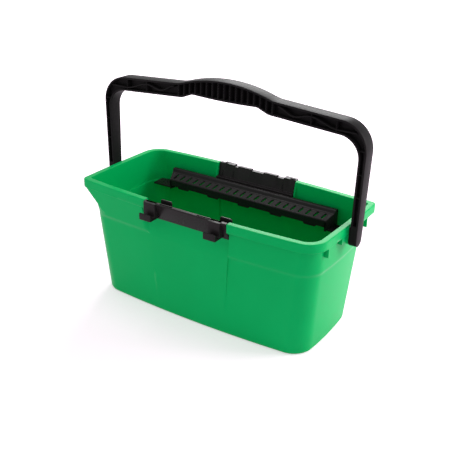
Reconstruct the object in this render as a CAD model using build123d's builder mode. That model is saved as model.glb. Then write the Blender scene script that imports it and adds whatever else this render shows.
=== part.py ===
"""Window cleaning bucket: a tub, a swing handle, two clip-on tool holders and a lift-out sieve.

Millimetres, +Z up. The origin is the middle of the tub's base, +X runs along its length.
"""
import os

from build123d import *

os.makedirs("parts", exist_ok=True)

# Tub, outside
height = 232.0
rim_length = 500.0
rim_width = 227.5
rim_bow = 8.85
rim_end_bow = 2.0
spout_reach = 5.0
spout_pinch = 6.6
rim_corner = 33.0
spout_corner = 9.5
spout_taper = 0.4
base_length = 446.0
base_width = 189.4
base_corner = 33.0
base_bevel = 5.0
long_bow = 10.3
end_bow = 6.0
ledge_height = 169.0
shoulder_length = 479.4
shoulder_width = 208.8
shoulder_corner = 33.0
shoulder_tip = 42.0
step = 3.5
step_slope = 7.0

# Tub, walls and rim
wall = 3.0
floor = 3.5
overhang = 8.3
flange = 3.0
skirt_height = 16.5
skirt = 2.5
apron_end = 243.0
apron_inset = 0.6

# Panels recessed into the long walls for the tool holders
panel_half_top = 88.0
panel_half_bottom = 74.3
panel_depth = 107.0
panel_foot_depth = 106.7
panel_foot = 45.0
panel_straight = 40.0
panel_drop = 29.3
rim_block = 8.0
rim_block_drop = 4.0

# Pivots of the handle
pivot_height = 209.0
pivot_bore = 8.0
pivot_fit = 0.08
boss_half = 29.0
boss_drop = 12.5
pivot_block_half = 10.5
boss_proud = 1.0
stub_length = 8.8
end_gap = 0.4
gusset = 3.0
gusset_drop = 18.5
gusset_spread = 72.0

# Swing handle
leg_gap = 5.4
leg_thickness = 13.4
leg_splay = 3.3
handle_depth = 28.4
foot_depth = 22.2
taper_rise = 150.0
handle_lean = 1.8
leg_end = 15.5
hub_rise = 24.0
shoulder_rise = 197.6
grip_end_rise = 209.3
grip_rise = 226.0
grip_half = 97.0
grip_root_half = 90.0
grip_flat_half = 67.5
bar_height = 25.5
grip_height = 34.5
grip_belly = 1.8
outer_bend = 50.0
inner_bend = 37.0
grip_blend = 60.0
grip_notch = 14.0
leg_round = 10.7
near = 1.0
web = 5.0
rib_flange = 3.5
grip_rib = 4.0
grip_rib_pitch = 12.2
grip_rib_count = 17
brace = 2.2
bar_wave = ((108.0, 6.0), (138.0, -4.0), (171.0, 4.0), (217.0, -6.0), (254.0, -4.0))
bar_ribs = (171.0, 217.0)
leg_ribs = (75.0, 115.0, 155.0)

# Tool holders
holder_length = 175.0
holder_shift = 5.0
holder_play = 0.5
seat = 0.3
holder_plate = 3.0
holder_drop = 33.5
holder_foot = 5.0
holder_shelf = 25.0
shelf_inset = 13.4
holder_crown = 8.0
crown_bevel = 1.5
holder_proud = 1.2
inner_drop = 44.0
tab_width = 24.0
tab_places = (-52.0, 75.0)
tab_rise = 1.0
tab_round = 3.0
hook_width = 25.0
hook_places = (-72.0, 65.5)
hook_drop = 29.5
hook_reach = 17.0
hook_upright = 4.0
hook_floor = 4.5
hook_lip = 3.5
hook_lip_height = 12.5
slot_length = 28.0
slot_width = 3.0
slot_depth = 5.0
slot_spacing = 80.0
slot_edge = 2.6
notch_length = 28.0
notch_depth = 2.6
notch_pitch = 58.0

# Sieve
sieve_sheet = 2.5
sieve_gap = 1.2
sieve_rear = 99.3
rear_opening = 27.0
ridge_front = 88.3
ridge_rise = 37.0
ridge_round = 5.2
shelf_rear = 85.5
shelf_rise = 31.0
shelf_round = 4.0
sieve_front = 66.0
front_round = 3.0
front_rise = 21.3
front_skirt = 13.3
sieve_half = 185.0
sieve_rake = 8.0
ear_front = 70.0
ear_thickness = 3.0
ear_inner_half = 174.0
ear_outer_half = 223.0
drain_slot = 4.5
drain_pitch = 16.0
drain_count = 22
drain_length = 13.0
drain_place = 75.6
drain_turn = 65.0
lobe_width = 26.0
lobe_drop = 3.5
lobe_round = 3.0
lobe_pitch = 72.0
lobe_count = 5

# Places shared by the pieces
rim_half = rim_length / 2
rim_half_width = rim_width / 2
skirt_bottom = height - skirt_height
rim_end = rim_half + spout_reach / 2 + rim_end_bow
boss_face = rim_end + boss_proud
leg_inner = rim_half + spout_reach + leg_gap
leg_outer = leg_inner + leg_thickness
hub_face = boss_face + end_gap
panel_top = height - panel_drop
far = rim_length


def outline(half_length, half_width, bow, short_bow, spout, pinch, corner, tip):
    """Bowed rectangle with two round corners and two corners drawn out into spouts."""
    middle = half_length + spout / 2 + short_bow
    front_right = (half_length, -half_width)
    rear_right = (half_length + spout, half_width - pinch)
    rear_left = (-half_length, half_width)
    front_left = (-half_length - spout, pinch - half_width)
    with BuildSketch() as shape:
        with BuildLine():
            ThreePointArc(front_left, (0, -half_width - bow), front_right)
            ThreePointArc(front_right, (middle, 0), rear_right)
            ThreePointArc(rear_right, (0, half_width + bow), rear_left)
            ThreePointArc(rear_left, (-middle, 0), front_left)
        make_face()
        fillet([v for v in shape.vertices() if v.X * v.Y > 0], tip)
        fillet([v for v in shape.vertices() if v.X * v.Y < 0], corner)
    return shape.sketch


def rim_outline(inset):
    """The rim's plan, drawn in by inset on every side."""
    return outline(rim_half - inset, rim_half_width - inset, rim_bow, rim_end_bow, spout_reach, spout_pinch,
                   rim_corner - inset, spout_corner - spout_taper * inset)


def shoulder_outline(inset, tip):
    """The plan at the ledge, drawn in by inset on every side; tip rounds the corners under the spouts."""
    return outline(shoulder_length / 2 - inset, shoulder_width / 2 - inset, long_bow, end_bow, 0, 0,
                   shoulder_corner - inset, tip - inset)


def base_outline(inset):
    """The plan of the base, drawn in by inset on every side."""
    return outline(base_length / 2 - inset, base_width / 2 - inset, long_bow, end_bow, 0, 0,
                   base_corner - inset, base_corner - inset)


def lofted(sections):
    """Solid that runs straight from each outline to the next; a section is (level, outline)."""
    with BuildPart() as body:
        for level, plan in sections:
            with BuildSketch(Plane.XY.offset(level)):
                add(plan)
        loft(ruled=True)
    return body.part


def panel_wedge(grow, shift):
    """What the front panel takes off the long wall, with its sides and face moved out by grow."""
    with BuildPart() as wedge:
        with BuildSketch(Plane.YZ):
            with BuildLine():
                Polyline((-panel_depth + grow, height + flange),
                         (-panel_depth + grow, height - panel_straight),
                         (-panel_foot_depth + grow, panel_foot), (-far, panel_foot), (-far, height + flange),
                         close=True)
            make_face()
        extrude(amount=far, both=True)
        with BuildSketch(Plane.XZ.move(Location((shift, 0, 0)))):
            with BuildLine():
                Polyline((-panel_half_bottom - grow, 0), (panel_half_bottom + grow, 0),
                         (panel_half_top + grow, height - panel_straight),
                         (panel_half_top + grow, height + 2 * flange),
                         (-panel_half_top - grow, height + 2 * flange),
                         (-panel_half_top - grow, height - panel_straight), close=True)
            make_face()
        extrude(amount=far, both=True, mode=Mode.INTERSECT)
    return wedge.part


def half_turn(part):
    """The same piece turned half round the tub's upright axis."""
    return part.rotate(Axis.Z, 180)


# Cavity of the tub, in one piece, with the two panels standing into it
with BuildPart() as cavity:
    add(lofted([(floor, base_outline(wall + base_bevel)), (floor + base_bevel, base_outline(wall)),
                (ledge_height, shoulder_outline(wall + step, shoulder_corner))]))
    add(lofted([(ledge_height, shoulder_outline(wall, shoulder_tip)),
                (height + flange, rim_outline(overhang + wall))]))
    add(panel_wedge(wall, -holder_shift), mode=Mode.SUBTRACT)
    add(half_turn(panel_wedge(wall, 0)), mode=Mode.SUBTRACT)


def apron(edge):
    """Apron that carries the wall out to the rim between the front panel's edge and the front spout."""
    with BuildPart() as body:
        add(lofted([(ledge_height, shoulder_outline(0, shoulder_tip)),
                    (skirt_bottom, rim_outline(apron_inset)),
                    (height - flange / 2, rim_outline(apron_inset))]))
        with BuildSketch():
            with Locations((-(apron_end + edge) / 2, -far / 2)):
                Rectangle(apron_end - edge, far)
        extrude(amount=height, mode=Mode.INTERSECT)
    return body.part


def rim_stop(edge):
    """Block that closes the hollow rim at the front panel's other edge."""
    with BuildPart() as body:
        with BuildSketch(Plane.XY.offset(skirt_bottom - rim_block_drop)):
            add(rim_outline(apron_inset))
            with Locations((edge + rim_block / 2, -far / 2)):
                Rectangle(rim_block, far, mode=Mode.INTERSECT)
        extrude(amount=rim_block_drop + skirt_height - flange / 2)
    return body.part


# Tub
with BuildPart() as tub:
    with BuildSketch(Plane.XY.offset(skirt_bottom)):
        add(rim_outline(0))
    extrude(amount=skirt_height)
    with BuildSketch(Plane.XY.offset(skirt_bottom)):
        add(rim_outline(skirt))
    extrude(amount=skirt_height - flange, mode=Mode.SUBTRACT)
    add(lofted([(0, base_outline(base_bevel)), (base_bevel, base_outline(0)),
                (ledge_height - step_slope, shoulder_outline(step, shoulder_corner)),
                (ledge_height, shoulder_outline(0, shoulder_tip)),
                (height - flange / 2, rim_outline(overhang))]))
    add(apron(panel_half_top + holder_shift))
    add(half_turn(apron(panel_half_top)))
    add(rim_stop(panel_half_top - holder_shift))
    add(half_turn(rim_stop(panel_half_top)))
    # Bosses that carry the handle's stubs, and a gusset under the rim on each side of them
    for side in (1, -1):
        for half, drop, proud in ((boss_half, boss_drop, -skirt / 2),
                                  (pivot_block_half, gusset_drop, boss_proud)):
            with BuildSketch(Plane.YZ.offset(side * (rim_end - overhang - wall))):
                with Locations((0, (skirt_bottom + height - drop - flange / 2) / 2)):
                    Rectangle(2 * half, skirt_height + drop - flange / 2)
            extrude(amount=side * (overhang + wall + proud))
        for place in (-gusset_spread, gusset_spread):
            reach = side * (rim_end - rim_end_bow / 2) + place * spout_reach / rim_width
            with BuildSketch(Plane.XZ.offset(-place)):
                with Locations((reach - side * (overhang + wall + skirt / 2) / 2,
                                (skirt_bottom + height - gusset_drop - flange / 2) / 2)):
                    Rectangle(overhang + wall - skirt / 2, skirt_height + gusset_drop - flange / 2)
            extrude(amount=gusset / 2, both=True)
    add(panel_wedge(0, -holder_shift), mode=Mode.SUBTRACT)
    add(half_turn(panel_wedge(0, 0)), mode=Mode.SUBTRACT)
    add(cavity.part, mode=Mode.SUBTRACT)
    # The panels end lower than the rim, where the holders straddle them
    with BuildSketch(Plane.XY.offset(panel_top)):
        with Locations((0, panel_depth), (-holder_shift, -panel_depth)):
            Rectangle(2 * panel_half_top, 4 * wall)
    extrude(amount=2 * panel_drop, mode=Mode.SUBTRACT)
    # Blind bores for the stubs
    for side in (1, -1):
        with BuildSketch(Plane.YZ.offset(side * (hub_face - stub_length - end_gap))):
            with Locations((0, pivot_height)):
                Circle(pivot_bore)
        extrude(amount=side * far, mode=Mode.SUBTRACT)
tub.part.label = "tub"
export_step(tub.part, "parts/tub.step")

# Swing handle, drawn upright
bar_slope = (grip_end_rise - shoulder_rise) / (leg_outer - grip_half)


def bar_top(place):
    """Height of the straight bar's top edge at a distance from the middle."""
    return pivot_height + shoulder_rise + bar_slope * (leg_outer - place)


leg_bottom = pivot_height - leg_end
belly = pivot_height + grip_rise - grip_height
with BuildPart() as handle:
    with BuildSketch(Plane.XZ) as handle_face:
        with BuildLine():
            right = [(grip_half, bar_top(grip_half)), (leg_outer, bar_top(leg_outer)),
                     (leg_outer - leg_splay, leg_bottom), (leg_inner - leg_splay, leg_bottom),
                     (leg_inner, bar_top(leg_inner) - bar_height),
                     (grip_root_half, bar_top(grip_root_half) - bar_height),
                     (grip_flat_half, belly + grip_belly)]
            left = [(-x, z) for x, z in right]
            ThreePointArc(left[0], (0, pivot_height + grip_rise), right[0])
            Polyline(*right)
            ThreePointArc(right[-1], (0, belly), left[-1])
            Polyline(*left)
        make_face()
        for corner, radius in ((right[0], grip_blend), (right[1], outer_bend), (right[4], inner_bend),
                               (right[5], grip_notch), (right[6], grip_notch)):
            fillet([v for v in handle_face.vertices()
                    if abs(abs(v.X) - corner[0]) < near and abs(v.Y - corner[1]) < near], radius)
    extrude(amount=handle_depth / 2, both=True)
    # Hubs that stand in from the legs to the tub's bosses
    with BuildSketch(Plane.XZ):
        for side in (1, -1):
            with BuildLine():
                Polyline((side * leg_inner, leg_bottom), (side * hub_face, leg_bottom),
                         (side * hub_face, pivot_height + hub_rise - (leg_inner - hub_face)),
                         (side * leg_inner, pivot_height + hub_rise), close=True)
            make_face()
    extrude(amount=handle_depth / 2, both=True)
    # The legs get thinner towards their round feet
    with BuildSketch(Plane.YZ):
        with BuildLine():
            Polyline((-foot_depth / 2, leg_bottom), (foot_depth / 2, leg_bottom),
                     (handle_depth / 2, pivot_height + taper_rise),
                     (handle_depth / 2, pivot_height + grip_rise),
                     (-handle_depth / 2, pivot_height + grip_rise),
                     (-handle_depth / 2, pivot_height + taper_rise), close=True)
        make_face()
    extrude(amount=far, both=True, mode=Mode.INTERSECT)
    fillet(handle.edges().filter_by(Axis.X).group_by(Axis.Z)[0], leg_round)
    # Pockets on both faces, which leave a web, a flange all round and the ribs
    with BuildSketch(Plane.XZ) as pocket:
        add(handle_face.sketch_local)
        offset(amount=-rib_flange, mode=Mode.REPLACE)
        with Locations((0, leg_bottom)):
            Rectangle(2 * far, 2 * (leg_end + hub_rise), mode=Mode.SUBTRACT)
        with Locations((0, pivot_height + grip_rise - grip_height / 2)):
            with GridLocations(grip_rib_pitch, 0, grip_rib_count, 1):
                Rectangle(grip_rib, 2 * grip_height, mode=Mode.SUBTRACT)
        for side in (1, -1):
            with Locations(*((side * x, bar_top(x)) for x in bar_ribs)):
                Rectangle(brace, 3 * bar_height, mode=Mode.SUBTRACT)
            with Locations(*((side * leg_outer, pivot_height + rise) for rise in leg_ribs)):
                Rectangle(3 * leg_thickness, brace, mode=Mode.SUBTRACT)
            with BuildLine():
                Polyline(*((side * x, bar_top(x) - bar_height / 2 + lift) for x, lift in bar_wave))
            trace(line_width=brace, mode=Mode.SUBTRACT)
    for side in (1, -1):
        with BuildSketch(Plane.XZ.offset(side * web / 2)):
            add(pocket.sketch_local)
        extrude(amount=side * handle_depth, mode=Mode.SUBTRACT)
    # Stubs that spring into the bosses
    for side in (1, -1):
        with BuildSketch(Plane.YZ.offset(side * (hub_face - stub_length))):
            with Locations((0, pivot_height)):
                Circle(pivot_bore - pivot_fit)
        extrude(amount=side * (stub_length + leg_thickness / 2))
# It leans a little to the rear, as it was left
leaning = handle.part.rotate(Axis((0, 0, pivot_height), (1, 0, 0)), -handle_lean)
leaning.label = "handle"
export_step(leaning, "parts/handle.step")

# Tool holders: a section that straddles the panel's edge, shared by the front and the rear one
crown_edge = rim_half_width + rim_bow + holder_proud
channel_outer = panel_depth + holder_play
channel_inner = panel_depth - wall - holder_play
plate_face = channel_inner - holder_plate
holder_foot_level = height - holder_drop
hook_level = height - hook_drop


def tool_holder(shift):
    """Front holder without its tabs and openings; shift moves it along the rim."""
    with BuildPart() as body:
        with BuildSketch(Plane.YZ.offset(shift)):
            with BuildLine():
                Polyline((-crown_edge + crown_bevel, height), (-crown_edge, height - crown_bevel),
                         (-channel_outer - holder_foot, holder_foot_level),
                         (-channel_outer, holder_foot_level), (-channel_outer, panel_top + seat),
                         (-channel_inner, panel_top + seat), (-channel_inner, height - inner_drop),
                         (-plate_face, height - inner_drop), (-plate_face, height - holder_shelf),
                         (-crown_edge + shelf_inset, height - holder_shelf),
                         (-crown_edge + holder_crown, height), close=True)
            make_face()
        extrude(amount=holder_length / 2, both=True)
        # Hooks that tools lie in
        for place in hook_places:
            with BuildSketch(Plane.YZ.offset(shift + place)):
                with BuildLine():
                    Polyline((-channel_outer, hook_level), (-crown_edge - hook_reach, hook_level),
                             (-crown_edge - hook_reach, hook_level + hook_lip_height),
                             (-crown_edge - hook_reach + hook_lip, hook_level + hook_lip_height),
                             (-crown_edge - hook_reach + hook_lip, hook_level + hook_floor),
                             (-crown_edge - hook_upright, hook_level + hook_floor),
                             (-crown_edge - hook_upright, height), (-crown_edge + holder_crown, height),
                             (-crown_edge + holder_crown, panel_top + 2 * seat),
                             (-channel_outer, panel_top + 2 * seat), close=True)
                make_face()
            extrude(amount=hook_width / 2, both=True)
    return body.part


with BuildPart() as front_tool_holder:
    add(tool_holder(-holder_shift))
    # Two slots in the top
    with BuildSketch(Plane.XY.offset(height)):
        with Locations((-holder_shift, -crown_edge + slot_edge + slot_width / 2)):
            with GridLocations(slot_spacing, 0, 2, 1):
                Rectangle(slot_length, slot_width)
    extrude(amount=-slot_depth, mode=Mode.SUBTRACT)
    # Tabs to press on when the holder is taken off
    tab_height = holder_shelf + holder_plate + tab_rise
    with BuildSketch(Plane.XZ.offset(plate_face)):
        with Locations(*((place - holder_shift, height + tab_rise - tab_height / 2) for place in tab_places)):
            RectangleRounded(tab_width, tab_height, tab_round)
    extrude(amount=holder_plate)
front_tool_holder.part.label = "front_tool_holder"
export_step(front_tool_holder.part, "parts/front_tool_holder.step")

with BuildPart() as rear_tool_holder:
    add(half_turn(tool_holder(0)))
    # Three shallow notches in the crown
    with BuildSketch(Plane.XY.offset(height)):
        with Locations((0, crown_edge)):
            with GridLocations(notch_pitch, 0, 3, 1):
                Rectangle(notch_length, 2 * holder_crown)
    extrude(amount=-notch_depth, mode=Mode.SUBTRACT)
rear_tool_holder.part.label = "rear_tool_holder"
export_step(rear_tool_holder.part, "parts/rear_tool_holder.step")

# Sieve: a sheet with a round ridge and a slotted slope, closed ends and two ears that lie on the tub's ledge
sieve_bottom = ledge_height + seat
skirt_level = ledge_height + front_rise - front_skirt
with BuildSketch() as sieve_section:
    with BuildLine():
        Polyline((sieve_rear, sieve_bottom), (sieve_rear, ledge_height + ridge_rise),
                 (ridge_front, ledge_height + ridge_rise), (shelf_rear, ledge_height + shelf_rise),
                 (sieve_front, ledge_height + front_rise), (sieve_front, sieve_bottom), close=True)
    make_face()
    for corner, radius in ((sieve_rear, ridge_round), (ridge_front, ridge_round), (shelf_rear, shelf_round),
                           (sieve_front, front_round)):
        fillet(sieve_section.vertices().filter_by(
            lambda v: abs(v.X - corner) < near and v.Y > sieve_bottom + sieve_sheet), radius)
with BuildSketch() as sieve_plan:
    with BuildLine():
        Polyline((-sieve_half + sieve_rake, 0), (sieve_half - sieve_rake, 0),
                 (sieve_half - sieve_rake, sieve_front), (sieve_half, ridge_front), (sieve_half, far),
                 (-sieve_half, far), (-sieve_half, ridge_front), (-sieve_half + sieve_rake, sieve_front),
                 close=True)
    make_face()

# Space under the sieve's sheet
with BuildPart() as hollow:
    with BuildSketch(Plane.YZ):
        add(sieve_section.sketch)
        offset(amount=-sieve_sheet, mode=Mode.REPLACE)
    extrude(amount=sieve_half, both=True)
    extrude(hollow.faces().sort_by(Axis.Z)[0], amount=height)
    with BuildSketch():
        add(sieve_plan.sketch)
        offset(amount=-sieve_sheet, mode=Mode.REPLACE)
    extrude(amount=height, mode=Mode.INTERSECT)

with BuildPart() as sieve:
    with BuildSketch(Plane.YZ):
        add(sieve_section.sketch)
    extrude(amount=sieve_half, both=True)
    with BuildSketch():
        add(sieve_plan.sketch)
    extrude(amount=height, mode=Mode.INTERSECT)
    add(hollow.part, mode=Mode.SUBTRACT)
    # The front side ends above the ledge in a row of rounded lobes
    with BuildSketch(Plane.XZ.offset(-sieve_front)):
        with Locations((0, sieve_bottom)):
            Rectangle(2 * (sieve_half - sieve_rake - sieve_sheet), 2 * (skirt_level - sieve_bottom))
        with Locations((0, skirt_level)):
            with GridLocations(lobe_pitch, 0, lobe_count, 1):
                RectangleRounded(lobe_width, 2 * lobe_drop, lobe_round, mode=Mode.SUBTRACT)
    extrude(amount=-2 * sieve_sheet, mode=Mode.SUBTRACT)
    # The rear side is only a lip
    with BuildSketch(Plane.XZ.offset(-sieve_rear)):
        with Locations((0, sieve_bottom)):
            Rectangle(2 * (sieve_half - sieve_sheet), 2 * rear_opening)
    extrude(amount=2 * sieve_sheet, mode=Mode.SUBTRACT)
    # Ears in the two rear corners of the tub, which pass the rim when the sieve is lifted
    with BuildSketch(Plane.XY.offset(sieve_bottom)):
        add(shoulder_outline(wall + sieve_gap, shoulder_tip))
        add(rim_outline(overhang + wall + sieve_gap), mode=Mode.INTERSECT)
        Rectangle(2 * ear_outer_half, far, mode=Mode.INTERSECT)
        Rectangle(2 * ear_inner_half, far, mode=Mode.SUBTRACT)
        with Locations((0, ear_front - far / 2)):
            Rectangle(2 * far, far, mode=Mode.SUBTRACT)
    extrude(amount=ear_thickness)
    # Slots that drain the slope
    with BuildSketch(Plane.XY.offset(skirt_level)):
        with Locations((0, drain_place)):
            with GridLocations(drain_pitch, 0, drain_count, 1):
                SlotOverall(drain_length, drain_slot, rotation=drain_turn)
    extrude(amount=height, mode=Mode.SUBTRACT)
sieve.part.label = "sieve"
export_step(sieve.part, "parts/sieve.step")
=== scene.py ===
"""Looks of the window cleaning bucket: a green tub, a black swing handle, two tool holders and a sieve.

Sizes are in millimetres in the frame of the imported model, and become metres when a mesh is made.
"""

import logging
import math
from collections.abc import Sequence
from dataclasses import astuple, dataclass, replace
from enum import Enum

import bmesh
import bpy
import numpy as np
from mathutils import Matrix


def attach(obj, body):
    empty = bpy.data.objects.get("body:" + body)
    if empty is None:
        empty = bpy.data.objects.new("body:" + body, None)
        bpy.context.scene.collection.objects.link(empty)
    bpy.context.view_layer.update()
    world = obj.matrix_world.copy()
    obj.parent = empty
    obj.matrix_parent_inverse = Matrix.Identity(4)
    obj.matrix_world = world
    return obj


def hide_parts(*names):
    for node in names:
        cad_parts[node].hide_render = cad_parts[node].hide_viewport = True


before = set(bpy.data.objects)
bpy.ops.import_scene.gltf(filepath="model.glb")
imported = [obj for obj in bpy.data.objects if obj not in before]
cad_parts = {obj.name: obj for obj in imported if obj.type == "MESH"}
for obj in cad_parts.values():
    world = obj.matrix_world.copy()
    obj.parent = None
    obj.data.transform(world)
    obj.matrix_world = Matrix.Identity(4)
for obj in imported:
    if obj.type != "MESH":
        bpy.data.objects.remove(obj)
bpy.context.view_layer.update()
MM = 0.001
MERGE = 0.01
TINY = 1e-6
WHITE = (1.0, 1.0, 1.0, 1.0)
NOISE_MIDDLE = 0.5
log = logging.getLogger("bucket")

Colour = tuple[float, float, float]
Point = tuple[float, float, float]
Span = tuple[float, float]
Outline = tuple[Span, ...]


class Body(Enum):
    """The bodies that pieces ride on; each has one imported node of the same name."""

    TUB = "tub"
    HANDLE = "handle"
    FRONT_HOLDER = "front_tool_holder"
    REAR_HOLDER = "rear_tool_holder"
    SIEVE = "sieve"


class Slot(Enum):
    """The record's material slots."""

    GREEN = "green_plastic"
    BLACK = "black_plastic"


class Axis(Enum):
    """The direction in which a flat section is drawn out; the section holds the other two in X, Y, Z order."""

    X = 0
    Y = 1
    Z = 2


@dataclass(frozen=True)
class Shape:
    """Points in millimetres and the faces that join them, as blocks of faces with the same number of corners."""

    points: np.ndarray
    faces: tuple[np.ndarray, ...]

    def half_turn(self) -> "Shape":
        """The same shape turned half round the upright axis."""
        return Shape(self.points * np.array([-1.0, -1.0, 1.0]), self.faces)

    def mirrored(self) -> "Shape":
        """The same shape on the other side of the plane X = 0."""
        return Shape(self.points * np.array([-1.0, 1.0, 1.0]), self.faces)

    def moved(self, x: float) -> "Shape":
        """The same shape further along X."""
        return Shape(self.points + np.array([x, 0.0, 0.0]), self.faces)

    def leaned(self, angle: float, height: float) -> "Shape":
        """The same shape swung about a line along X: y and z - height are turned by the angle.

        Args:
            angle: in degrees; a positive one moves the shape's top to the rear.
            height: where the line lies.

        Returns:
            The swung shape.
        """
        turn = math.radians(angle)
        x, y, z = self.points.T
        z = z - height
        back = y * math.cos(turn) + z * math.sin(turn)
        up = z * math.cos(turn) - y * math.sin(turn)
        return Shape(np.stack([x, back, height + up], 1), self.faces)


def together(*shapes: Shape) -> Shape:
    """Several shapes as one.

    Args:
        shapes: the shapes, in order.

    Returns:
        One shape with every face.
    """
    starts = np.cumsum([0] + [len(shape.points) for shape in shapes])
    faces = tuple(block + start for start, shape in zip(starts, shapes) for block in shape.faces)
    return Shape(np.concatenate([shape.points for shape in shapes]), faces)


def grid(points: np.ndarray, caps: bool = True) -> Shape:
    """Surface over a stack of closed rings: each quad joins a point to the next ring and the next point round.

    Args:
        points: array of rings, points and 3.
        caps: whether the first and the last ring are closed by one face each.

    Returns:
        The shape.
    """
    rows, columns = points.shape[:2]
    a, b = np.meshgrid(np.arange(rows - 1) * columns, np.arange(columns), indexing="ij")
    after = (b + 1) % columns
    quads = np.stack([a + b, a + after, a + columns + after, a + columns + b], -1).reshape(-1, 4)
    ring = np.arange(columns)[None]
    ends = (ring[:, ::-1], ring + (rows - 1) * columns) if caps else ()
    return Shape(points.reshape(-1, 3), (quads, *ends))


def conic(start: np.ndarray, middle: np.ndarray, end: np.ndarray, weight: np.ndarray | float,
          t: np.ndarray) -> np.ndarray:
    """Curve drawn towards a middle point: the mean of the three points by (1 - t)^2, 2 w t (1 - t) and t^2.

    Args:
        start: where the curve starts.
        middle: where its two tangents meet.
        end: where it ends.
        weight: the middle's weight w; with the sine of half the corner's angle the curve is a circle's arc.
        t: places along the curve, from 0 to 1.

    Returns:
        Points of the curve.
    """
    low, mid, high = (1 - t) ** 2, 2 * weight * t * (1 - t), t ** 2
    return (low * start + mid * middle + high * end) / (low + mid + high)


def rounded(corners: Sequence[Span], radii: Sequence[float] | float, steps: int = 5, closed: bool = True) -> np.ndarray:
    """Polygon with its corners rounded: each is a circle's arc from one tangent point to the other.

    Args:
        corners: the polygon's points.
        radii: one radius for all, or one for each corner.
        steps: points along each rounded corner.
        closed: whether the last corner joins the first; an open line keeps its two ends.

    Returns:
        Array of points and 2.
    """
    p = np.asarray(corners, float)
    r = np.broadcast_to(np.asarray(radii, float), len(p))
    before, after = np.roll(p, 1, 0) - p, np.roll(p, -1, 0) - p
    u = before / np.linalg.norm(before, axis=1, keepdims=True)
    v = after / np.linalg.norm(after, axis=1, keepdims=True)
    half = np.arccos(np.clip((u * v).sum(1), -1, 1)) / 2
    reach = (r / np.tan(half))[:, None]
    t = np.linspace(0, 1, steps)[None, :, None]
    arcs = conic((p + u * reach)[:, None], p[:, None], (p + v * reach)[:, None], np.sin(half)[:, None, None], t)
    if closed:
        return arcs.reshape(-1, 2)
    return np.concatenate([p[:1], arcs[1:-1].reshape(-1, 2), p[-1:]])


def box(x: Span, z: Span) -> Outline:
    """Corners of a rectangle, in order."""
    return (x[0], z[0]), (x[1], z[0]), (x[1], z[1]), (x[0], z[1])


def spread(count: int, pitch: float) -> np.ndarray:
    """Places of a row with one pitch, about the middle."""
    return (np.arange(count) - (count - 1) / 2) * pitch


def way(line: np.ndarray) -> np.ndarray:
    """Length of the way along a line up to each of its points."""
    return np.concatenate([[0.0], np.cumsum(np.linalg.norm(np.diff(line, axis=0), axis=1))])


def at(places: np.ndarray, knots: Sequence[float], rows: np.ndarray) -> np.ndarray:
    """Rows of numbers at given places, straight between the rows at the knots.

    Args:
        places: array of any shape.
        knots: where the rows are known, rising.
        rows: one row for each knot.

    Returns:
        Array of the places' shape with a row at each.
    """
    return np.stack([np.interp(places, knots, column) for column in rows.T], -1)


def left_of(along: np.ndarray) -> np.ndarray:
    """Unit vectors to the left of the directions given."""
    return np.stack([-along[:, 1], along[:, 0]], 1) / np.maximum(np.linalg.norm(along, axis=1, keepdims=True), TINY)


def quarter(radius: float, steps: int = 4) -> tuple[np.ndarray, np.ndarray]:
    """Quarter round: radius (1 - sin t) and radius (1 - cos t), with t from 0 to a right angle."""
    turn = np.linspace(0, math.pi / 2, steps)
    return radius * (1 - np.sin(turn)), radius * (1 - np.cos(turn))


def drawn_in(section: np.ndarray, inset: np.ndarray) -> np.ndarray:
    """Closed section moved inwards along its normals, once for each inset.

    Args:
        section: array of points and 2.
        inset: array of distances.

    Returns:
        Array of insets, points and 2.
    """
    x, y = section.T
    area = (x * np.roll(y, -1) - np.roll(x, -1) * y).sum()
    inward = left_of(np.roll(section, -1, 0) - np.roll(section, 1, 0)) * np.sign(area)
    return section + inset[:, None, None] * inward


def placed(rings: np.ndarray, axis: Axis, places: np.ndarray) -> np.ndarray:
    """Flat rings set along an axis: each ring's place becomes the third coordinate of its points.

    Args:
        rings: array of rings, points and 2.
        axis: the direction.
        places: one place for each ring.

    Returns:
        Array of rings, points and 3.
    """
    return np.insert(rings, axis.value, np.broadcast_to(places[:, None], rings.shape[:2]), axis=2)


def drawn_out(section: np.ndarray, axis: Axis, low: float, high: float, edge: float) -> Shape:
    """Section carried straight along an axis, with a quarter-round edge at both ends.

    Args:
        section: closed section, array of points and 2.
        axis: the direction.
        low: where it starts.
        high: where it ends.
        edge: radius of the rounded ends.

    Returns:
        The closed shape.
    """
    inset, rise = quarter(edge)
    rings = drawn_in(section, np.concatenate([inset, inset[::-1]]))
    return grid(placed(rings, axis, np.concatenate([low + rise, high - rise[::-1]])))


class Number:
    """A number on a node's output: arithmetic on it adds Math nodes."""

    def __init__(self, tree: "Nodes", socket: bpy.types.NodeSocket) -> None:
        """Wrap a socket of a tree."""
        self.tree = tree
        self.socket = socket

    def _math(self, operation: str, first: "Number | float", second: "Number | float") -> "Number":
        """Add one Math node and take its result."""
        return self.tree.number("ShaderNodeMath", {"operation": operation}, {0: first, 1: second})

    def __add__(self, other: "Number | float") -> "Number":
        """Sum."""
        return self._math("ADD", self, other)

    def __radd__(self, other: float) -> "Number":
        """Sum with a plain number first."""
        return self._math("ADD", other, self)

    def __sub__(self, other: "Number | float") -> "Number":
        """Difference."""
        return self._math("SUBTRACT", self, other)

    def __rsub__(self, other: float) -> "Number":
        """Difference with a plain number first."""
        return self._math("SUBTRACT", other, self)

    def __mul__(self, other: "Number | float") -> "Number":
        """Product."""
        return self._math("MULTIPLY", self, other)

    def __rmul__(self, other: float) -> "Number":
        """Product with a plain number first."""
        return self._math("MULTIPLY", other, self)


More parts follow.
